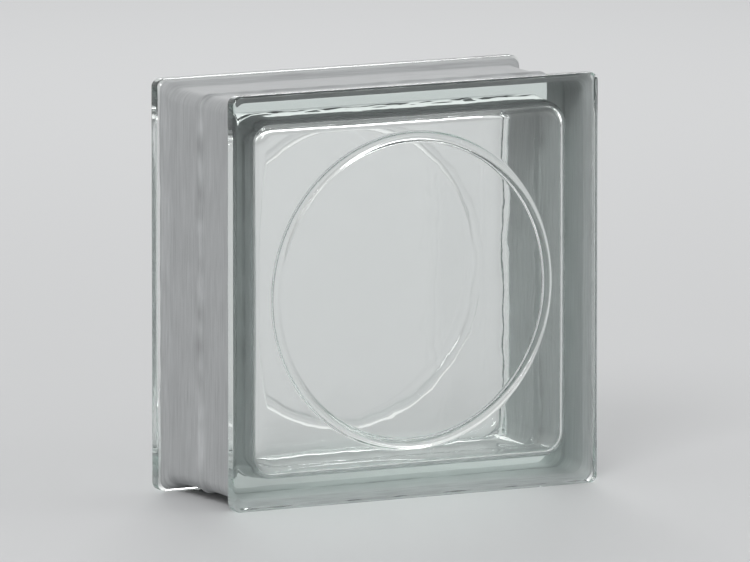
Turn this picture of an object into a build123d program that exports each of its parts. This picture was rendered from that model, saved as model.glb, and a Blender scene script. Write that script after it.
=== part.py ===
"""Hollow glass block: two pressed glass half shells fused rim to rim, with a coated edge."""

import os
from math import hypot, radians, tan

from build123d import *

os.makedirs("parts", exist_ok=True)

# Overall size, in millimetres. X runs along the width, Y from the front face
# to the back face and Z up. The origin is under the middle of the block, on
# the level of the two lips that it stands on.
block_width = 190.0
block_height = 190.0
block_depth = 80.0

# Outline of the two faces
outline_corner_radius = 4.0
face_edge_radius = 1.6

# Mortar recess that runs round the edge, between the lips of the two faces
lip_depth = 6.0
shoulder_depth = 6.0
recess_depth = 4.2
recess_corner_radius = 6.0
recess_draft_angle = 1.2

# Hollow inside, as the plunger of the press leaves it
plate_thickness = 8.0
rim_thickness = 6.8
cavity_corner_radius = 11.0
cavity_draft_angle = 3.0
cavity_root_radius = 6.0

# Relief on the inner side of each face plate: a raised ring, and outside it
# a slope that thickens the plate towards the corners
ring_clearance = 8.6
ring_width = 5.0
ring_crest = 1.6
ring_height = 1.3
spandrel_rise = 1.2

# Bead of glass squeezed out on both sides of the rims where they are fused,
# which leans back from a low foot
bead_height = 1.1
bead_depth = 2.4
bead_foot = 0.1

# Coat brushed over the recess, which stops a margin short of the lips
coating_thickness = 0.4
coating_margin = 1.2

# Sizes that follow from the ones above
half_depth = block_depth / 2
waist_depth = half_depth - lip_depth - shoulder_depth
cavity_depth = half_depth - plate_thickness
seam_inset = recess_depth + waist_depth * tan(radians(recess_draft_angle))
seam_corner_radius = recess_corner_radius - waist_depth * tan(radians(recess_draft_angle))
rim_inset = seam_inset + rim_thickness
floor_inset = rim_inset + cavity_depth * tan(radians(cavity_draft_angle))
floor_width = block_width - 2 * floor_inset
floor_height = block_height - 2 * floor_inset
ring_radius = min(floor_width, floor_height) / 2 - ring_clearance - ring_width / 2
corner_reach = hypot(floor_width, floor_height) / 2
bead_chamfer = bead_height - bead_foot

# Plane of the front face and the planes below it have their normals pointing
# into the block, so a depth is an offset
front_face = Plane(origin=(0, -half_depth, block_height / 2), x_dir=(1, 0, 0), z_dir=(0, 1, 0))
face_axis = Axis(front_face.origin, front_face.z_dir)


def outline(depth, inset, corner_radius):
    """The block's outline this deep below the front face, drawn in by the inset."""
    with BuildSketch(front_face.offset(depth)) as rectangle:
        RectangleRounded(block_width - 2 * inset, block_height - 2 * inset, corner_radius)
    return rectangle.sketch


def recess_form(start, skin):
    """One half of the recessed edge from this depth to the seam, thicker all round by the skin."""
    share = (start - lip_depth) / shoulder_depth
    start_radius = outline_corner_radius + share * (recess_corner_radius - outline_corner_radius)
    with BuildPart() as form:
        shoulder_top = outline(start, share * recess_depth - skin, start_radius + skin)
        shoulder_foot = outline(lip_depth + shoulder_depth, recess_depth - skin, recess_corner_radius + skin)
        loft([shoulder_top, shoulder_foot])
        extrude(shoulder_foot, amount=waist_depth, taper=recess_draft_angle)
        bead_inset = seam_inset - bead_height - skin
        bead_radius = seam_corner_radius + bead_height + skin
        extrude(outline(half_depth, bead_inset, bead_radius), amount=-bead_depth)
        bead_step = form.faces().filter_by(Axis.Y).sort_by(Axis.Y)[1]
        chamfer(bead_step.outer_wire().edges(), bead_chamfer)
    return form.part


# Plunger, the shape of the hollow in one half, with the relief sunk in its nose
with BuildPart() as plunger:
    mouth = outline(half_depth, rim_inset, cavity_corner_radius)
    extrude(mouth, amount=-cavity_depth, taper=cavity_draft_angle)
    with BuildSketch(Plane(origin=(0, 0, block_height / 2), x_dir=(1, 0, 0), z_dir=(0, 0, 1))):
        floor_level = plate_thickness - half_depth
        ring_foot = ring_radius + ring_width / 2
        with BuildLine():
            ridge = Polyline(
                (ring_radius - ring_width / 2, floor_level),
                (ring_radius - ring_crest / 2, floor_level + ring_height),
                (ring_radius + ring_crest / 2, floor_level + ring_height),
                (ring_foot, floor_level),
            )
            slope = Line(ridge @ 1, (corner_reach, floor_level + spandrel_rise))
            Polyline(slope @ 1, (corner_reach, -half_depth), ((ridge @ 0).X, -half_depth), ridge @ 0)
        make_face()
    revolve(axis=face_axis, mode=Mode.SUBTRACT)
    slope_face = plunger.faces().filter_by(GeomType.CONE).sort_by(SortBy.AREA)[-1]
    fillet(slope_face.outer_wire().edges(), cavity_root_radius)

# Half of the fused bead on the inside, rooted in the rim
with BuildPart() as inner_bead:
    root = outline(half_depth, rim_inset - bead_height, cavity_corner_radius + bead_height)
    extrude(root, amount=-bead_depth)
    bore = outline(half_depth, rim_inset + bead_height, cavity_corner_radius - bead_height)
    extrude(bore, amount=-bead_depth, mode=Mode.SUBTRACT)
    bead_step = inner_bead.faces().sort_by(Axis.Y)[0]
    chamfer(bead_step.inner_wires().edges(), bead_chamfer)

# Front half shell: the lip with its rounded face edge, the recessed edge with
# half of the fused bead, and the hollow
with BuildPart() as front_half_shell:
    extrude(outline(0, 0, outline_corner_radius), amount=lip_depth)
    fillet(front_half_shell.faces().sort_by(Axis.Y)[0].edges(), face_edge_radius)
    add(recess_form(lip_depth, 0))
    add(plunger.part, mode=Mode.SUBTRACT)
    add(inner_bead.part)

# Back half shell, the same pressing turned to face the other way
with BuildPart() as back_half_shell:
    mirror(front_half_shell.part, about=Plane.XZ)

# Edge coating: a thin band round the recess, closed over the fused seam
with BuildPart() as edge_coating:
    coating_start = lip_depth + coating_margin
    add(recess_form(coating_start, coating_thickness))
    add(recess_form(coating_start, 0), mode=Mode.SUBTRACT)
    mirror(about=Plane.XZ)

front_half_shell.part.label = "front_half_shell"
back_half_shell.part.label = "back_half_shell"
edge_coating.part.label = "edge_coating"
export_step(front_half_shell.part, "parts/front_half_shell.step")
export_step(back_half_shell.part, "parts/back_half_shell.step")
export_step(edge_coating.part, "parts/edge_coating.step")
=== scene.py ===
"""Hollow glass block: the fused glass body, its coated edge and a pale studio round it."""

import math

import bmesh
import bpy
from bpy.props import FloatProperty, FloatVectorProperty, PointerProperty
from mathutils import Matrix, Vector, noise


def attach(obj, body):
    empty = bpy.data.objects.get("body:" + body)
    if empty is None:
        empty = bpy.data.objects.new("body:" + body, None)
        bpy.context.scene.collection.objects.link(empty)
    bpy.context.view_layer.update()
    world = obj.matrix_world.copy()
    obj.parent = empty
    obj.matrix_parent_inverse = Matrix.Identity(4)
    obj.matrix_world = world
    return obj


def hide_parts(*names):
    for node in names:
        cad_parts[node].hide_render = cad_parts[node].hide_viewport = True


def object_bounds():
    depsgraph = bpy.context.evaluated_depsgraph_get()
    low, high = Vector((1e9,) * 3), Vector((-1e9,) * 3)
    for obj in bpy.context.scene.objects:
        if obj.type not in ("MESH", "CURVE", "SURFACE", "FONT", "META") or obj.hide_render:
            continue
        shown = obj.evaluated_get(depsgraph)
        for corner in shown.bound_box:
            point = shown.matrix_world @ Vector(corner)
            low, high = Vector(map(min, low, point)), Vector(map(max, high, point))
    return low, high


bl_info = {
    "name": "Hollow Glass Block",
    "version": (1, 0, 0),
    "blender": (4, 5, 0),
    "location": "View3D > Sidebar > Glass Block",
    "description": "Adds a hollow pressed glass block with a coated edge, and a pale studio",
    "category": "Add Mesh",
}

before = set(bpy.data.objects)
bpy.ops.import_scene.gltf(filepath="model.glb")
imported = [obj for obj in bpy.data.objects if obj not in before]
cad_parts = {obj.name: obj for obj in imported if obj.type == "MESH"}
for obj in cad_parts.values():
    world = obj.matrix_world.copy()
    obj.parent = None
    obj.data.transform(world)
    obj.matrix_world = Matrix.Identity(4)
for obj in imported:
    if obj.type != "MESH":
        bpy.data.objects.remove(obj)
CAD_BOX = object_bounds()

# The block's frame: origin under its middle, seam in the plane y = 0
LOW, HIGH = CAD_BOX
HALF_WIDTH = (HIGH.x - LOW.x) / 2
HALF_DEPTH = (HIGH.y - LOW.y) / 2
FRONT = LOW.y
SEAM = 0.0
AXIS_Z = (LOW.z + HIGH.z) / 2

# Mesh density: vertices round every loop, and the steps of each form along its section
LOOP_VERTICES = 240
CORNER_SEGMENTS = 10
SIDE_CUTS = LOOP_VERTICES // 4 - CORNER_SEGMENTS - 1
FACE_CUTS = 6
FACE_EDGE_SEGMENTS = 5
SHOULDER_CUTS = 4
SHOULDER_SEGMENTS = 3
WAIST_STEPS = 6
ROOT_SEGMENTS = 8
WALL_STEPS = 5
BEAD_STEPS = 6
RING_FOOT_STEPS = 4
RING_CROWN_STEPS = 12

# Width of the narrow faces that keep a flat face flat up to a rounding
SUPPORT = 0.0004

# Round disc in the middle of an outer face, as a share of half the block's width
DISC_SHARE = 0.68

# Depth of the hollow that is modelled with its floor, in root radii
ROOT_ROOM = 2.0

# Where the lumps of the seam start and end to die out, in bead depths from the seam
LUMPS_FULL = 0.5
LUMPS_END = 2.5

# Thickness that the coat thins out to at its edge, as a share of its full one
COAT_EDGE_SHARE = 0.4

# How near two places count as one, and how near two vertices are merged
NEAR = 1e-5
MERGE = 1e-6

# Least share of a normal along the block's axis in a face that lies across it
ACROSS = 0.9


class GlassBlockSizes(bpy.types.PropertyGroup):
    """Sizes of the glass body and its coat."""

    outline_radius: FloatProperty(
        name="Outline Radius", description="Radius of the four corners of a face",
        default=0.004, min=0.001, unit="LENGTH")
    edge_radius: FloatProperty(
        name="Edge Radius", description="Fire-polished rounding round a face",
        default=0.0016, min=0.0002, unit="LENGTH")
    lip_depth: FloatProperty(
        name="Lip Depth", description="Depth of the land at the edge of a face",
        default=0.006, min=0.002, unit="LENGTH")
    shoulder_depth: FloatProperty(
        name="Shoulder Depth", description="Depth over which a lip slopes down into the recess",
        default=0.006, min=0.001, unit="LENGTH")
    shoulder_rounding: FloatProperty(
        name="Shoulder Rounding", description="Rounding at the head and foot of the shoulder",
        default=0.0009, min=0.0001, unit="LENGTH")
    recess_depth: FloatProperty(
        name="Recess Depth", description="How far the mortar recess lies inside the lips",
        default=0.0042, min=0.001, unit="LENGTH")
    recess_radius: FloatProperty(
        name="Recess Corner Radius", description="Radius of the recess's corners",
        default=0.006, min=0.001, unit="LENGTH")
    recess_draft: FloatProperty(
        name="Recess Draft", description="Slope of the recess towards the seam",
        default=math.radians(1.2), subtype="ANGLE")
    plate_thickness: FloatProperty(
        name="Plate Thickness", description="Thickness of a face plate inside the ring",
        default=0.008, min=0.003, unit="LENGTH")
    rim_thickness: FloatProperty(
        name="Rim Thickness", description="Thickness of the side wall at the seam",
        default=0.0068, min=0.002, unit="LENGTH")
    cavity_radius: FloatProperty(
        name="Cavity Corner Radius", description="Radius of the hollow's corners",
        default=0.011, min=0.002, unit="LENGTH")
    cavity_draft: FloatProperty(
        name="Cavity Draft", description="Slope of the hollow's walls",
        default=math.radians(3.0), subtype="ANGLE")
    root_radius: FloatProperty(
        name="Root Radius", description="Fillet between a face plate and the side walls",
        default=0.006, min=0.001, unit="LENGTH")
    ring_clearance: FloatProperty(
        name="Ring Clearance", description="Gap between the ring and the side walls",
        default=0.0086, min=0.001, unit="LENGTH")
    ring_width: FloatProperty(
        name="Ring Width", description="Width of the raised ring on the inside of a face plate",
        default=0.005, min=0.001, unit="LENGTH")
    ring_height: FloatProperty(
        name="Ring Height", description="Height of the raised ring",
        default=0.0013, min=0.0001, unit="LENGTH")
    ring_foot_radius: FloatProperty(
        name="Ring Foot Radius", description="Fillet on both sides of the ring",
        default=0.0008, min=0.0001, unit="LENGTH")
    spandrel_rise: FloatProperty(
        name="Spandrel Rise", description="Extra thickness of a face plate at its corners",
        default=0.0012, min=0.0, unit="LENGTH")
    bead_height: FloatProperty(
        name="Bead Height", description="Height of the fused bead at the seam",
        default=0.0011, min=0.0, unit="LENGTH")
    bead_depth: FloatProperty(
        name="Bead Depth", description="Half the width of the fused bead",
        default=0.0024, min=0.0005, unit="LENGTH")
    wave_height: FloatProperty(
        name="Wave Height", description="Height of the waves that pressing leaves in a face plate",
        default=0.00026, min=0.0, unit="LENGTH")
    wave_size: FloatProperty(
        name="Wave Size", description="Distance between the waves in a face plate",
        default=0.016, min=0.001, unit="LENGTH")
    seam_height: FloatProperty(
        name="Seam Unevenness", description="How unevenly the fused bead stands out in the hollow",
        default=0.0028, min=0.0, unit="LENGTH")
    seam_size: FloatProperty(
        name="Seam Lump Size", description="Distance between the lumps of the fused bead",
        default=0.009, min=0.001, unit="LENGTH")
    coat_thickness: FloatProperty(
        name="Coat Thickness", description="Thickness of the coat over the recess",
        default=0.0004, min=0.0001, unit="LENGTH")
    coat_grip: FloatProperty(
        name="Coat Grip", description="How far the coat reaches into the glass, to touch it all over",
        default=0.00006, min=0.00001, unit="LENGTH")
    coat_margin: FloatProperty(
        name="Coat Margin", description="How far the coat stops short of a lip",
        default=0.0012, min=0.0005, unit="LENGTH")
    coat_fray: FloatProperty(
        name="Coat Fray",
        description="How unevenly the coat's edge runs, as a share of its first row of faces",
        default=0.5, min=0.0, max=0.9)
    coat_lumps: FloatProperty(
        name="Coat Lumps", description="How unevenly the coat is laid on",
        default=0.00026, min=0.0, unit="LENGTH")


class GlassBlockLook(bpy.types.PropertyGroup):
    """Colours of the glass, its coat and the studio, and the place of the camera."""

    glass: FloatVectorProperty(
        name="Glass", description="Tint of the glass's surface", subtype="COLOR",
        size=4, default=(0.985, 0.992, 0.988, 1.0), min=0.0, max=1.0)
    depth_tint: FloatVectorProperty(
        name="Glass Depth Tint", description="Colour that light takes on over a long way in the glass",
        subtype="COLOR", size=4, default=(0.62, 0.79, 0.73, 1.0), min=0.0, max=1.0)
    depth_density: FloatProperty(
        name="Glass Depth Density", description="How strongly the glass tints over its depth, per metre",
        default=5.5, min=0.0)
    coat: FloatVectorProperty(
        name="Coat", description="Colour of the edge coat", subtype="COLOR",
        size=4, default=(0.365, 0.375, 0.38, 1.0), min=0.0, max=1.0)
    floor: FloatVectorProperty(
        name="Floor", description="Colour of the studio floor", subtype="COLOR",
        size=4, default=(0.56, 0.565, 0.57, 1.0), min=0.0, max=1.0)
    azimuth: FloatProperty(
        name="Camera Azimuth", description="Turn of the camera from the front of the block",
        default=math.radians(-29.0), subtype="ANGLE")
    elevation: FloatProperty(
        name="Camera Elevation", description="Height of the camera over the block's middle",
        default=math.radians(8.0), subtype="ANGLE")
    distance: FloatProperty(
        name="Camera Distance", description="Distance of the camera from the block's middle",
        default=6.1, min=0.5, unit="LENGTH")
    lens: FloatProperty(
        name="Camera Lens", description="Focal length of the camera, in millimetres",
        default=640.0, min=10.0)


def sizes():
    """The sizes that the panel shows."""
    return bpy.context.scene.glass_block_sizes


def look():
    """The colours and the camera's place that the panel shows."""
    return bpy.context.scene.glass_block_look


# Selecting


def is_at(value, place):
    """Whether a coordinate is at a place."""
    return abs(value - place) < NEAR


def all_at(edge, *depths):
    """Whether both ends of an edge lie at one of these depths."""
    return all(any(is_at(vertex.co.y, y) for y in depths) for vertex in edge.verts)


def lies_across(centre, normal, y):
    """Whether a face lies flat across the block's axis at this depth."""
    return is_at(centre.y, y) and abs(normal.y) > ACROSS


def select_faces(obj, test):
    """Selects only the faces whose centre and normal pass the test."""
    bpy.ops.mesh.select_mode(type="FACE")
    mesh = bmesh.from_edit_mesh(obj.data)
    for face in mesh.faces:
        face.select_set(test(face.calc_center_median(), face.normal))
    mesh.select_flush_mode()
    bmesh.update_edit_mesh(obj.data)


def select_edges(obj, test):
    """Selects only the edges that pass the test."""
    bpy.ops.mesh.select_mode(type="EDGE")
    mesh = bmesh.from_edit_mesh(obj.data)
    for edge in mesh.edges:
        edge.select_set(test(edge))
    mesh.select_flush_mode()
    bmesh.update_edit_mesh(obj.data)


def select_loop(obj, y, only_open=False):
    """Selects the edges that lie at one depth, or only those of them with nothing on one side."""
    select_edges(obj, lambda edge: all_at(edge, y) and (edge.is_boundary or not only_open))


def select_only(*objects):
    """Selects only these objects, the first of them active."""
    bpy.ops.object.select_all(action="DESELECT")
    for obj in objects:
        obj.select_set(True)
    bpy.context.view_layer.objects.active = objects[0]


def axis_point(y):
    """The point on the block's axis at this depth."""
    return (0.0, y, AXIS_Z)


# Shaping


def add_slab(name, reach, y_from, y_to):
    """Adds a slab as wide and high as twice the reach, in edit mode with nothing selected."""
    bpy.ops.object.select_all(action="DESELECT")
    bpy.ops.mesh.primitive_cube_add(size=1.0, location=axis_point((y_from + y_to) / 2))
    slab = bpy.context.object
    slab.name = name
    slab.scale = (2 * reach, y_to - y_from, 2 * reach)
    bpy.ops.object.transform_apply(location=True, rotation=True, scale=True)
    bpy.ops.object.mode_set(mode="EDIT")
    bpy.ops.mesh.select_all(action="DESELECT")
    return slab


def open_end(obj, y):
    """Takes away the face that closes an end."""
    select_faces(obj, lambda centre, normal: is_at(centre.y, y))
    bpy.ops.mesh.delete(type="ONLY_FACE")


def round_selected(radius, segments):
    """Rounds the selected edges."""
    bpy.ops.mesh.bevel(offset=radius, offset_type="OFFSET", segments=segments, profile=0.5,
                       affect="EDGES")


def round_corners(obj, radius):
    """Rounds the four edges that run along the block's axis."""
    select_edges(obj, lambda edge: not is_at(edge.verts[0].co.y, edge.verts[1].co.y))
    round_selected(radius, CORNER_SEGMENTS)


def round_loop(obj, y, radius, segments):
    """Rounds the edges that run round the block at one depth."""
    select_loop(obj, y)
    round_selected(radius, segments)


def support_face(obj, y):
    """Insets the flat face at one depth by a narrow support."""
    select_faces(obj, lambda centre, normal: lies_across(centre, normal, y))
    bpy.ops.mesh.inset(thickness=SUPPORT, use_even_offset=True)


def cut_sides(obj):
    """Cuts the four straight sides across, so that every loop has the same vertices."""

    def along_a_side(edge):
        start, end = edge.verts
        return is_at(start.co.y, end.co.y) and edge.calc_length() > HALF_WIDTH / 2

    select_edges(obj, along_a_side)
    bpy.ops.mesh.subdivide(number_cuts=SIDE_CUTS)


def extrude_loop(y_from, y_to, scale):
    """Extrudes the selected open loop along the block's axis and scales it about that axis."""
    bpy.ops.mesh.extrude_edges_move(TRANSFORM_OT_translate={"value": (0, y_to - y_from, 0)})
    bpy.ops.transform.resize(value=(scale, 1, scale), center_override=axis_point(y_to))


def extrude_section(obj, section):
    """Extrudes the open loop at the section's first point through the rest of its points.

    A point is the depth along the block's axis and the reach of the sides from that axis.
    """
    (y, reach), rest = section[0], section[1:]
    select_loop(obj, y, only_open=True)
    for next_y, next_reach in rest:
        extrude_loop(y, next_y, next_reach / reach)
        y, reach = next_y, next_reach


def bridge(obj, belongs, cuts):
    """Bridges the two open loops whose edges pass the test."""
    select_edges(obj, lambda edge: edge.is_boundary and belongs(edge))
    bpy.ops.mesh.bridge_edge_loops(number_cuts=cuts, interpolation="LINEAR")


def fill_face(obj, y, rings):
    """Replaces the flat face at one depth by a round disc with rings, bridged to the face's rim.

    A ring is its radius and how far it stands out along the block's axis, the outermost first.
    """
    select_faces(obj, lambda centre, normal: lies_across(centre, normal, y) and
                 from_axis(centre) < SUPPORT)
    bpy.ops.mesh.delete(type="ONLY_FACE")
    bpy.ops.mesh.select_all(action="DESELECT")
    last_radius, last_rise = rings[0]
    bpy.ops.mesh.primitive_circle_add(vertices=LOOP_VERTICES, radius=last_radius,
                                      fill_type="NOTHING", location=axis_point(y),
                                      rotation=(math.pi / 2, 0, 0))
    for radius, rise in rings[1:]:
        extrude_loop(y + last_rise, y + rise, radius / last_radius)
        last_radius, last_rise = radius, rise
    bpy.ops.mesh.fill_grid(span=LOOP_VERTICES // 4)
    bridge(obj, lambda edge: all_at(edge, y), FACE_CUTS)


def close_half(obj, inside):
    """Mirrors the half across the seam and turns its faces out, or into the hollow."""
    select_only(obj)
    mirror = obj.modifiers.new("Second half", "MIRROR")
    mirror.use_axis = (False, True, False)
    mirror.use_mirror_merge = True
    mirror.merge_threshold = NEAR
    bpy.ops.object.modifier_apply(modifier=mirror.name)
    bpy.ops.object.mode_set(mode="EDIT")
    bpy.ops.mesh.select_all(action="SELECT")
    bpy.ops.mesh.remove_doubles(threshold=MERGE)
    bpy.ops.mesh.normals_make_consistent(inside=inside)
    bpy.ops.object.mode_set(mode="OBJECT")


def displace(obj, name, strength, weight=None, direction="NORMAL", lump_size=None, middle=0.5):
    """Moves each vertex by the strength times its weight, unevenly if a size of lumps is given.

    Lumps stand out on both sides of the surface, or on one side only where the middle is 0.
    Without a weight, it moves the vertices outside the vertex group of this name.
    """
    select_only(obj)
    group = obj.vertex_groups.get(name) or obj.vertex_groups.new(name=name)
    if weight:
        for vertex in obj.data.vertices:
            group.add([vertex.index], weight(vertex.co), "REPLACE")
    push = obj.modifiers.new(name, "DISPLACE")
    push.vertex_group = group.name
    push.invert_vertex_group = not weight
    push.direction = direction
    push.strength = strength
    push.mid_level = 0.0
    if lump_size:
        push.mid_level = middle
        push.texture = bpy.data.textures.new(name, "CLOUDS")
        push.texture.noise_scale = lump_size
        push.texture_coords = "LOCAL"
    bpy.ops.object.modifier_apply(modifier=push.name)
    obj.vertex_groups.remove(obj.vertex_groups[name])


def ramp(value, start, end):
    """0 at the start, 1 at the end and straight in between."""
    return min(max((value - start) / (end - start), 0.0), 1.0)


def from_axis(point):
    """How far a point lies from the block's axis."""
    return math.hypot(point.x, point.z - AXIS_Z)


def from_sides(point):
    """How far a point lies inside the nearest of the block's four sides."""
    return HALF_WIDTH - max(abs(point.x), abs(point.z - AXIS_Z))


def wave_plate(half):
    """Gives a side of the face plate the slight waves of pressed glass, which die out at its edge."""
    s = sizes()
    edge = HALF_WIDTH - seam_reach() + s.rim_thickness
    plate_back = FRONT + s.plate_thickness + s.ring_height + s.spandrel_rise

    def plate(point):
        return ramp(from_sides(point), edge, 2 * edge) * (point.y < plate_back)

    displace(half, "waves", s.wave_height, plate, direction="Y", lump_size=s.wave_size,
             middle=0.0)


# Sections of the block


def seam_reach():
    """Half the width of the recess at the seam, without the bead."""
    s = sizes()
    waist_depth = HALF_DEPTH - s.lip_depth - s.shoulder_depth
    return HALF_WIDTH - s.recess_depth - waist_depth * math.tan(s.recess_draft)


def straight_section(start, end, steps):
    """Points in even steps from one point to another, without the first one."""
    (y, reach), (end_y, end_reach) = start, end
    section = []
    for step in range(1, steps + 1):
        share = step / steps
        section.append((y + share * (end_y - y), reach + share * (end_reach - reach)))
    return section


def bead_section(y_start, reach, growth):
    """The fused bead from its foot to the seam, on a wall that gains reach by its growth."""
    s = sizes()
    section = []
    for step in range(1, BEAD_STEPS + 1):
        share = step / BEAD_STEPS
        swell = math.copysign(s.bead_height, -growth) * (1 - math.cos(math.pi * share)) / 2
        section.append((y_start + share * (SEAM - y_start), reach + growth * share + swell))
    return section


def ring_section():
    """Place across the ring and height of each loop, from the outer foot over the crown inwards."""
    s = sizes()
    foot_radius = s.ring_foot_radius
    crown_radius = (s.ring_width ** 2 / 4 + s.ring_height ** 2) / (2 * s.ring_height)
    drop = crown_radius - s.ring_height
    reach = math.sqrt((crown_radius + foot_radius) ** 2 - (foot_radius + drop) ** 2)
    lean = math.atan2(reach, foot_radius + drop)
    outer_foot = [(reach + SUPPORT, 0.0)]
    for step in range(RING_FOOT_STEPS):
        turn = lean * step / RING_FOOT_STEPS
        outer_foot.append((reach - foot_radius * math.sin(turn), foot_radius * (1 - math.cos(turn))))
    crown = []
    for step in range(RING_CROWN_STEPS + 1):
        turn = lean * (1 - 2 * step / RING_CROWN_STEPS)
        crown.append((crown_radius * math.sin(turn), crown_radius * math.cos(turn) - drop))
    inner_foot = [(-across, height) for across, height in reversed(outer_foot)]
    return outer_foot + crown + inner_foot


# Glass body


def add_lip():
    """One face of the block with its rounded edge and its lip, open towards the seam."""
    s = sizes()
    back = FRONT + s.lip_depth
    lip = add_slab("lip", HALF_WIDTH, FRONT, back)
    open_end(lip, back)
    round_corners(lip, s.outline_radius)
    round_loop(lip, FRONT, s.edge_radius, FACE_EDGE_SEGMENTS)
    support_face(lip, FRONT)
    cut_sides(lip)
    fill_face(lip, FRONT, [(HALF_WIDTH * DISC_SHARE, 0.0)])
    bpy.ops.object.mode_set(mode="OBJECT")
    return lip


def add_waist():
    """Half of the recess, from the foot of the shoulder to the seam, open at both ends."""
    s = sizes()
    start = FRONT + s.lip_depth + s.shoulder_depth
    bead_start = SEAM - s.bead_depth
    reach = HALF_WIDTH - s.recess_depth
    bead_reach = seam_reach() + s.bead_depth * math.tan(s.recess_draft)
    (slab_end, _), *rest = straight_section((start, reach), (bead_start, bead_reach), WAIST_STEPS)
    waist = add_slab("waist", reach, start, slab_end)
    open_end(waist, start)
    open_end(waist, slab_end)
    round_corners(waist, s.recess_radius)
    cut_sides(waist)
    bead = bead_section(bead_start, bead_reach, seam_reach() - bead_reach)
    extrude_section(waist, [(slab_end, reach)] + rest + bead)
    bpy.ops.object.mode_set(mode="OBJECT")
    return waist


def add_outer_skin():
    """The outside of the glass: two faces, their lips and the recess between them."""
    s = sizes()
    waist = add_waist()
    lip = add_lip()
    select_only(lip, waist)
    bpy.ops.object.join()
    bpy.ops.object.mode_set(mode="EDIT")
    shoulder_head = FRONT + s.lip_depth
    shoulder_foot = shoulder_head + s.shoulder_depth
    bridge(lip, lambda edge: all_at(edge, shoulder_head, shoulder_foot), SHOULDER_CUTS)
    for y in (shoulder_head, shoulder_foot):
        round_loop(lip, y, s.shoulder_rounding, SHOULDER_SEGMENTS)
    bpy.ops.object.mode_set(mode="OBJECT")
    wave_plate(lip)
    close_half(lip, inside=False)
    return lip


def add_hollow():
    """The inside of the glass: two ringed floors and the drafted walls between them."""
    s = sizes()
    floor = FRONT + s.plate_thickness
    bead_start = SEAM - s.bead_depth
    rim_reach = seam_reach() - s.rim_thickness
    lean = math.tan(s.cavity_draft)
    floor_reach = rim_reach - (SEAM - floor) * lean
    wall_start = floor + ROOT_ROOM * s.root_radius
    wall_reach = floor_reach + (wall_start - floor) * lean

    hollow = add_slab("hollow", floor_reach, floor, wall_start)
    select_faces(hollow, lambda centre, normal: is_at(centre.y, wall_start))
    widening = wall_reach / floor_reach
    bpy.ops.transform.resize(value=(widening, 1, widening), center_override=axis_point(wall_start))
    open_end(hollow, wall_start)
    round_corners(hollow, s.cavity_radius)
    round_loop(hollow, floor, s.root_radius, ROOT_SEGMENTS)
    support_face(hollow, floor)
    cut_sides(hollow)

    ring_radius = floor_reach - s.ring_clearance - s.ring_width / 2
    fill_face(hollow, floor, [(ring_radius + across, height) for across, height in ring_section()])

    bead_reach = rim_reach - s.bead_depth * lean
    wall = straight_section((wall_start, wall_reach), (bead_start, bead_reach), WALL_STEPS)
    bead = bead_section(bead_start, bead_reach, rim_reach - bead_reach)
    extrude_section(hollow, [(wall_start, wall_reach)] + wall + bead)
    bpy.ops.object.mode_set(mode="OBJECT")

    ring_foot = ring_radius + s.ring_width / 2
    corner = floor_reach * math.sqrt(2)

    def spandrel(point):
        outwards = ramp(from_axis(point), ring_foot, corner)
        return outwards * (1 - ramp(point.y, floor, wall_start))

    def near_seam(point):
        return 1 - ramp(abs(point.y), LUMPS_FULL * s.bead_depth, LUMPS_END * s.bead_depth)

    displace(hollow, "spandrel", s.spandrel_rise, spandrel, direction="Y")
    wave_plate(hollow)
    close_half(hollow, inside=True)
    displace(hollow, "seam", s.seam_height, near_seam, lump_size=s.seam_size)
    return hollow


def dress(piece, name, material):
    """Names a finished piece, smooths it and gives it its material."""
    piece.name = name
    bpy.ops.object.shade_smooth()
    piece.data.materials.clear()
    piece.data.materials.append(material)


class GLASSBLOCK_OT_glass_body(bpy.types.Operator):
    """Add the fused glass body in place of the two half shells"""

    bl_idname = "glass_block.glass_body"
    bl_label = "Glass Body"
    bl_options = {"REGISTER", "UNDO"}

    def execute(self, context):
        glass = add_outer_skin()
        select_only(glass, add_hollow())
        bpy.ops.object.join()
        dress(glass, "glass_body", glass_material())
        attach(glass, "root")
        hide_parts("front_half_shell", "back_half_shell")
        return {"FINISHED"}


# Edge coat


def fray_edges(obj):
    """Draws the vertices of the open edges in along the surface, each by a share of its own."""
    s = sizes()
    bpy.ops.object.mode_set(mode="EDIT")
    mesh = bmesh.from_edit_mesh(obj.data)
    moved = []
    for vertex in mesh.verts:
        if vertex.is_boundary:
            across = next(edge for edge in vertex.link_edges if not edge.is_boundary)
            brush = noise.noise(vertex.co / s.seam_size) + noise.noise(vertex.co / s.wave_size)
            share = s.coat_fray * ramp(brush, -1.0, 1.0)
            moved.append((vertex, vertex.co.lerp(across.other_vert(vertex).co, share)))
    for vertex, place in moved:
        vertex.co = place
    bmesh.update_edit_mesh(obj.data)
    bpy.ops.object.mode_set(mode="OBJECT")


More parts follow.
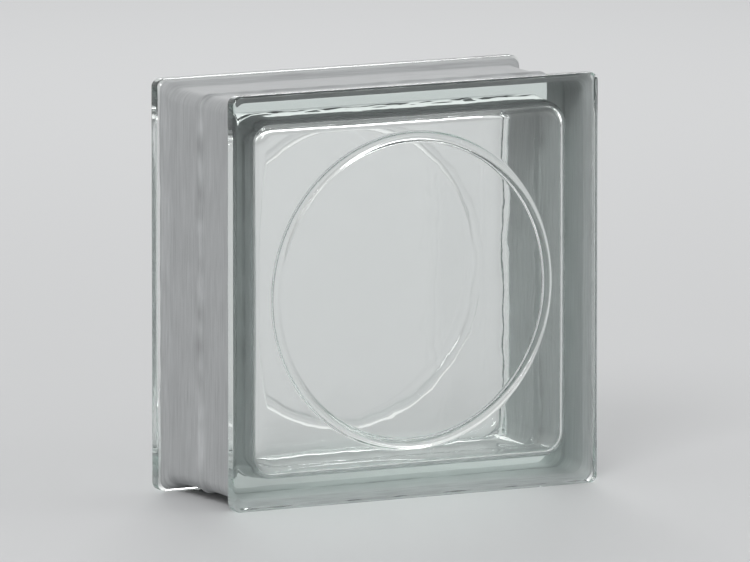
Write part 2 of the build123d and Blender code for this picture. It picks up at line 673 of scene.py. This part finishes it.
def add_coat():
    """The coat: the outside of the glass between the lips, given a thickness."""
    s = sizes()
    coat = add_outer_skin()
    start = FRONT + s.lip_depth + s.coat_margin
    bpy.ops.object.mode_set(mode="EDIT")
    for y, side in ((start, 1), (-start, -1)):
        bpy.ops.mesh.select_all(action="SELECT")
        bpy.ops.mesh.bisect(plane_co=(0, y, 0), plane_no=(0, side, 0), clear_inner=True)
    bpy.ops.object.mode_set(mode="OBJECT")
    fray_edges(coat)
    cover = coat.vertex_groups.new(name="cover")
    for vertex in coat.data.vertices:
        cover.add([vertex.index], ramp(abs(start) - abs(vertex.co.y), 0.0, s.coat_margin), "REPLACE")
    inside = coat.vertex_groups.new(name="inside")
    solid = coat.modifiers.new("Thickness", "SOLIDIFY")
    solid.thickness = s.coat_thickness + s.coat_grip
    solid.offset = 1 - 2 * s.coat_grip / solid.thickness
    solid.use_even_offset = True
    solid.vertex_group = cover.name
    solid.thickness_vertex_group = COAT_EDGE_SHARE
    solid.shell_vertex_group = inside.name
    bpy.ops.object.modifier_apply(modifier=solid.name)
    coat.vertex_groups.remove(coat.vertex_groups["cover"])
    displace(coat, "inside", s.coat_lumps, lump_size=s.seam_size)
    return coat


class GLASSBLOCK_OT_edge_coat(bpy.types.Operator):
    """Add the coat brushed over the recessed edge in place of the plain band"""

    bl_idname = "glass_block.edge_coat"
    bl_label = "Edge Coat"
    bl_options = {"REGISTER", "UNDO"}

    def execute(self, context):
        coat = add_coat()
        dress(coat, "edge_coat", coat_material())
        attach(coat, "root")
        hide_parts("edge_coating")
        return {"FINISHED"}


# Materials


class Nodes:
    """A node tree with short calls that add a node with its values and links."""

    def __init__(self, tree):
        self.tree = tree

    def give(self, socket, value):
        """Gives a socket its value, or links it to another node's output."""
        if isinstance(value, bpy.types.NodeSocket):
            self.tree.links.new(value, socket)
        else:
            socket.default_value = value

    def fill(self, node, **inputs):
        """Gives a node's inputs what they take, by their names with _ for a space."""
        for key, value in inputs.items():
            self.give(node.inputs[key.replace("_", " ")], value)
        return node

    def add(self, kind, settings=None, **inputs):
        """Adds a node with its settings and inputs."""
        node = self.tree.nodes.new(kind)
        for key, value in (settings or {}).items():
            setattr(node, key, value)
        return self.fill(node, **inputs)

    def calculate(self, kind, operation, *values):
        """Adds a Math or Vector Math node with its values in order, and gives its output."""
        node = self.add(kind, {"operation": operation})
        for socket, value in zip(node.inputs, values):
            self.give(socket, value)
        return next(output for output in node.outputs if output.enabled)

    def surface(self, shader):
        """Shows a shader on the surface."""
        self.fill(self.tree.nodes["Material Output"], Surface=shader)


def unevenness_group():
    """Broad swells and fine grain of a surface, as two masks, for every material of the block."""
    name = "unevenness"
    if name in bpy.data.node_groups:
        return bpy.data.node_groups[name]
    tree = bpy.data.node_groups.new(name, "ShaderNodeTree")
    for label, default in (("Swell Scale", 40.0), ("Grain Scale", 400.0)):
        socket = tree.interface.new_socket(label, in_out="INPUT", socket_type="NodeSocketFloat")
        socket.default_value = default
    stretch = tree.interface.new_socket("Stretch", in_out="INPUT", socket_type="NodeSocketVector")
    stretch.default_value = (1.0, 1.0, 1.0)
    for label in ("Swell", "Grain"):
        tree.interface.new_socket(label, in_out="OUTPUT", socket_type="NodeSocketFloat")
    nodes = Nodes(tree)
    given = tree.nodes.new("NodeGroupInput")
    result = tree.nodes.new("NodeGroupOutput")
    coords = nodes.add("ShaderNodeTexCoord").outputs["Object"]
    stretched = nodes.calculate("ShaderNodeVectorMath", "MULTIPLY", coords, given.outputs["Stretch"])
    for label, detail in (("Swell", 1.0), ("Grain", 3.0)):
        texture = nodes.add("ShaderNodeTexNoise", Vector=stretched,
                            Scale=given.outputs[label + " Scale"], Detail=detail)
        nodes.give(result.inputs[label], texture.outputs["Fac"])
    return tree


def new_material(name):
    """A new material, its nodes and its main shader."""
    material = bpy.data.materials.new(name)
    material.use_nodes = True
    nodes = Nodes(material.node_tree)
    return material, nodes, material.node_tree.nodes["Principled BSDF"]


def add_unevenness(nodes, swell_scale, grain_scale, stretch=(1.0, 1.0, 1.0)):
    """Adds the unevenness group with a material's own scales, and gives its two masks."""
    group = nodes.add("ShaderNodeGroup", {"node_tree": unevenness_group()})
    nodes.fill(group, Swell_Scale=swell_scale, Grain_Scale=grain_scale, Stretch=stretch)
    return group.outputs["Swell"], group.outputs["Grain"]


def add_bump(nodes, height, distance):
    """Adds bumps of this height for the shader's normal."""
    return nodes.add("ShaderNodeBump", Strength=1.0, Distance=distance,
                     Height=height).outputs["Normal"]


def add_mix(nodes, share, first, second):
    """Adds a mix of two shaders, of which the share goes to the second."""
    mix = nodes.add("ShaderNodeMixShader", Fac=share)
    nodes.give(mix.inputs[1], first)
    nodes.give(mix.inputs[2], second)
    return mix.outputs["Shader"]


# Glass: its refraction, the scales and height of its ripples with the share of
# the fine ones, and the light that it lets through into its own shadow
GLASS_IOR = 1.52
RIPPLE_SCALE = 55.0
FINE_RIPPLE_SCALE = 260.0
FINE_RIPPLE_SHARE = 0.12
RIPPLE_HEIGHT = 0.00006
SHADOW_TINT = (0.88, 0.91, 0.9, 1.0)


def glass_material():
    """Clear pressed glass: fire-polished, faintly rippled, and green-grey over a long way."""
    c = look()
    material, nodes, shader = new_material("clear_glass")
    swell, grain = add_unevenness(nodes, RIPPLE_SCALE, FINE_RIPPLE_SCALE)
    ripple = nodes.calculate("ShaderNodeMath", "MULTIPLY_ADD", grain, FINE_RIPPLE_SHARE, swell)
    nodes.fill(shader, Base_Color=c.glass, Transmission_Weight=1.0, Roughness=0.0,
               IOR=GLASS_IOR, Normal=add_bump(nodes, ripple, RIPPLE_HEIGHT))
    depth = nodes.add("ShaderNodeVolumeAbsorption", Color=c.depth_tint, Density=c.depth_density)
    nodes.fill(nodes.tree.nodes["Material Output"], Volume=depth.outputs["Volume"])
    in_shadow = nodes.add("ShaderNodeLightPath").outputs["Is Shadow Ray"]
    clear = nodes.add("ShaderNodeBsdfTransparent", Color=SHADOW_TINT)
    nodes.surface(add_mix(nodes, in_shadow, shader.outputs["BSDF"], clear.outputs["BSDF"]))
    return material


# Coat: the scales of its patches and grain, and of the strokes along the edge. Near the seam the patch
# scale also sets the size of the painted highlights and shade.
PATCH_SCALE = 60.0
GRAIN_SCALE = 1100.0
STROKE_SCALE = 14.0
FINE_STROKE_SCALE = 60.0
STROKE_STRETCH = (1.0, 26.0, 1.0)

# Distances from the seam at which the patches are strongest and faintest, and
# their strength there. Near the seam the patches are made strong as painted highlights
# and painted shade, standing in for light caught by the lumpy fused bead; further out
# they are the coat's own faint uneven tone.
PAINTED_SEAM_LIGHT_NEAR, PAINTED_SEAM_LIGHT_FAR = 0.0012, 0.0055
PAINTED_SEAM_LIGHT_STRONG, PATCHES_FAINT = 1.8, 0.25

# The coat's darkest and lightest tone, as shares of its colour, its roughness,
# and the height of its strokes with the share of the grain. The darkest and lightest
# tones are reached near the seam, as painted shade and painted highlights.
COAT_TONES = (0.68, 1.29)
COAT_ROUGHNESS = (0.5, 0.8)
STROKE_HEIGHT = 0.00025
GRAIN_SHARE = 0.35


def coat_material():
    """Matt light grey coat, brushed on along the edge, with painted highlights and shade along the seam.
    """
    material, nodes, shader = new_material("edge_coat")
    patches, grain = add_unevenness(nodes, PATCH_SCALE, GRAIN_SCALE)
    _, strokes = add_unevenness(nodes, STROKE_SCALE, FINE_STROKE_SCALE, STROKE_STRETCH)
    coords = nodes.add("ShaderNodeTexCoord")
    split = nodes.add("ShaderNodeSeparateXYZ", Vector=coords.outputs["Object"])
    from_seam = nodes.calculate("ShaderNodeMath", "ABSOLUTE", split.outputs["Y"])
    # Painted highlights and shade along the seam: the patches are strong near it and faint away from it
    strength = nodes.add("ShaderNodeMapRange", Value=from_seam, From_Min=PAINTED_SEAM_LIGHT_NEAR,
                         From_Max=PAINTED_SEAM_LIGHT_FAR, To_Min=PAINTED_SEAM_LIGHT_STRONG, To_Max=PATCHES_FAINT)
    uneven = nodes.calculate("ShaderNodeMath", "SUBTRACT", patches, 0.5)
    streaks_and_seam_light = nodes.calculate("ShaderNodeMath", "MULTIPLY_ADD", uneven,
                              strength.outputs["Result"], strokes)
    tones = nodes.add("ShaderNodeValToRGB", Fac=streaks_and_seam_light)
    for stop, place, share in zip(tones.color_ramp.elements, (0.0, 1.0), COAT_TONES):
        stop.position = place
        stop.color = [share * part for part in look().coat[:3]] + [1.0]
    smooth, rough = COAT_ROUGHNESS
    roughness = nodes.add("ShaderNodeMapRange", Value=strokes, To_Min=smooth, To_Max=rough)
    height = nodes.calculate("ShaderNodeMath", "MULTIPLY_ADD", grain, GRAIN_SHARE, strokes)
    nodes.fill(shader, Base_Color=tones.outputs["Color"], Roughness=roughness.outputs["Result"],
               Normal=add_bump(nodes, height, STROKE_HEIGHT))
    return material


# Studio: the floor, how far out it starts and ends to turn into the backdrop,
# and the backdrop's colour at the sine of each elevation
FLOOR_VERTICES = 64
FLOOR_RADIUS = 30.0
FLOOR_ROUGHNESS = 0.8
FLOOR_NEAR, FLOOR_FAR = 1.0, 5.0
HORIZON = (0.53, 0.535, 0.54, 1.0)
BACKDROP = (
    (0.0, HORIZON),
    (0.22, (0.98, 0.98, 0.98, 1.0)),
    (0.60, (0.95, 0.95, 0.95, 1.0)),
    (0.90, (0.28, 0.285, 0.29, 1.0)),
)

# Name, place, size and power of each soft light
LAMPS = (
    ("key_light", (-1.5, -1.6, 1.8), 0.9, 26.0),
    ("fill_light", (1.9, -1.2, 1.0), 1.2, 5.0),
    ("back_light", (0.9, 1.8, 1.5), 0.9, 14.0),
)

# Width of the camera's sensor, in millimetres
SENSOR_WIDTH = 36.0

# How often light may be thrown back or let through on its way
GLASS_BOUNCES = 24


def floor_material():
    """Pale matt floor, which turns into the backdrop's own light far from the block."""
    material, nodes, shader = new_material("studio_floor")
    nodes.fill(shader, Base_Color=look().floor, Roughness=FLOOR_ROUGHNESS)
    coords = nodes.add("ShaderNodeTexCoord").outputs["Object"]
    reach = nodes.calculate("ShaderNodeVectorMath", "LENGTH", coords)
    far = nodes.add("ShaderNodeMapRange", {"interpolation_type": "SMOOTHSTEP"}, Value=reach,
                    From_Min=FLOOR_NEAR, From_Max=FLOOR_FAR)
    glow = nodes.add("ShaderNodeEmission", Color=HORIZON).outputs["Emission"]
    nodes.surface(add_mix(nodes, far.outputs["Result"], shader.outputs["BSDF"], glow))
    return material


def add_floor():
    """The floor, a wide disc under the block."""
    bpy.ops.object.select_all(action="DESELECT")
    bpy.ops.mesh.primitive_circle_add(vertices=FLOOR_VERTICES, radius=FLOOR_RADIUS,
                                      fill_type="NGON", location=(0, 0, LOW.z))
    floor = bpy.context.object
    floor.name = "studio_floor"
    bpy.ops.object.transform_apply(location=True, rotation=True, scale=True)
    floor.data.materials.append(floor_material())


def add_backdrop():
    """The world's light: grey at the horizon, white above it and dim overhead."""
    world = bpy.data.worlds.new("studio")
    bpy.context.scene.world = world
    world.use_nodes = True
    nodes = Nodes(world.node_tree)
    coords = nodes.add("ShaderNodeTexCoord")
    split = nodes.add("ShaderNodeSeparateXYZ", Vector=coords.outputs["Generated"])
    colours = nodes.add("ShaderNodeValToRGB", Fac=split.outputs["Z"])
    stops = colours.color_ramp.elements
    while len(stops) < len(BACKDROP):
        stops.new(0.5)
    for stop, (place, colour) in zip(stops, BACKDROP):
        stop.position = place
        stop.color = colour
    nodes.fill(world.node_tree.nodes["Background"], Color=colours.outputs["Color"], Strength=1.0)


def add_lamps():
    """The soft lights, all turned to the block's middle and unseen by the camera."""
    target = Vector(axis_point(SEAM))
    for name, place, size, power in LAMPS:
        data = bpy.data.lights.new(name, "AREA")
        data.shape = "SQUARE"
        data.size = size
        data.energy = power
        lamp = bpy.data.objects.new(name, data)
        bpy.context.scene.collection.objects.link(lamp)
        lamp.location = place
        lamp.rotation_euler = (target - Vector(place)).to_track_quat("-Z", "Y").to_euler()
        lamp.visible_camera = False


def add_camera():
    """The camera at the photo's angle, aimed at the block's middle."""
    c = look()
    data = bpy.data.cameras.new("camera")
    data.lens = c.lens
    data.sensor_width = SENSOR_WIDTH
    data.clip_end = 2 * FLOOR_RADIUS
    camera = bpy.data.objects.new("camera", data)
    bpy.context.scene.collection.objects.link(camera)
    back = Vector((
        math.sin(c.azimuth) * math.cos(c.elevation),
        -math.cos(c.azimuth) * math.cos(c.elevation),
        math.sin(c.elevation),
    ))
    camera.location = Vector(axis_point(SEAM)) + back * c.distance
    camera.rotation_euler = (-back).to_track_quat("-Z", "Y").to_euler()
    bpy.context.scene.camera = camera


def follow_light_in_glass(light_paths):
    """Lets light be thrown back often enough in the glass to come out at its far edges."""
    light_paths.max_bounces = GLASS_BOUNCES
    light_paths.transmission_bounces = GLASS_BOUNCES
    light_paths.glossy_bounces = GLASS_BOUNCES


class GLASSBLOCK_OT_studio(bpy.types.Operator):
    """Add the pale floor, the backdrop, the soft lights and the camera"""

    bl_idname = "glass_block.studio"
    bl_label = "Studio"
    bl_options = {"REGISTER", "UNDO"}

    def execute(self, context):
        add_floor()
        add_backdrop()
        add_lamps()
        add_camera()
        context.scene.view_settings.view_transform = "Standard"
        follow_light_in_glass(context.scene.cycles)
        return {"FINISHED"}


class GLASSBLOCK_PT_panel(bpy.types.Panel):
    """Glass block steps, sizes and colours"""

    bl_idname = "GLASSBLOCK_PT_panel"
    bl_label = "Glass Block"
    bl_space_type = "VIEW_3D"
    bl_region_type = "UI"
    bl_category = "Glass Block"

    def draw(self, context):
        layout = self.layout
        for step in (GLASSBLOCK_OT_glass_body, GLASSBLOCK_OT_edge_coat, GLASSBLOCK_OT_studio):
            layout.operator(step.bl_idname)
        for group in (sizes(), look()):
            box = layout.box()
            for key in group.bl_rna.properties.keys():
                if key not in ("rna_type", "name"):
                    box.prop(group, key)


CLASSES = (
    GlassBlockSizes,
    GlassBlockLook,
    GLASSBLOCK_OT_glass_body,
    GLASSBLOCK_OT_edge_coat,
    GLASSBLOCK_OT_studio,
    GLASSBLOCK_PT_panel,
)


def register():
    """Registers the classes and the panel's two groups of values."""
    for cls in CLASSES:
        bpy.utils.register_class(cls)
    bpy.types.Scene.glass_block_sizes = PointerProperty(type=GlassBlockSizes)
    bpy.types.Scene.glass_block_look = PointerProperty(type=GlassBlockLook)


def unregister():
    """Takes back what register did."""
    del bpy.types.Scene.glass_block_sizes
    del bpy.types.Scene.glass_block_look
    for cls in reversed(CLASSES):
        bpy.utils.unregister_class(cls)


def main():
    """Builds the pieces and the studio."""
    register()
    bpy.ops.glass_block.glass_body()
    bpy.ops.glass_block.edge_coat()
    bpy.ops.glass_block.studio()


if __name__ == "__main__":
    main()
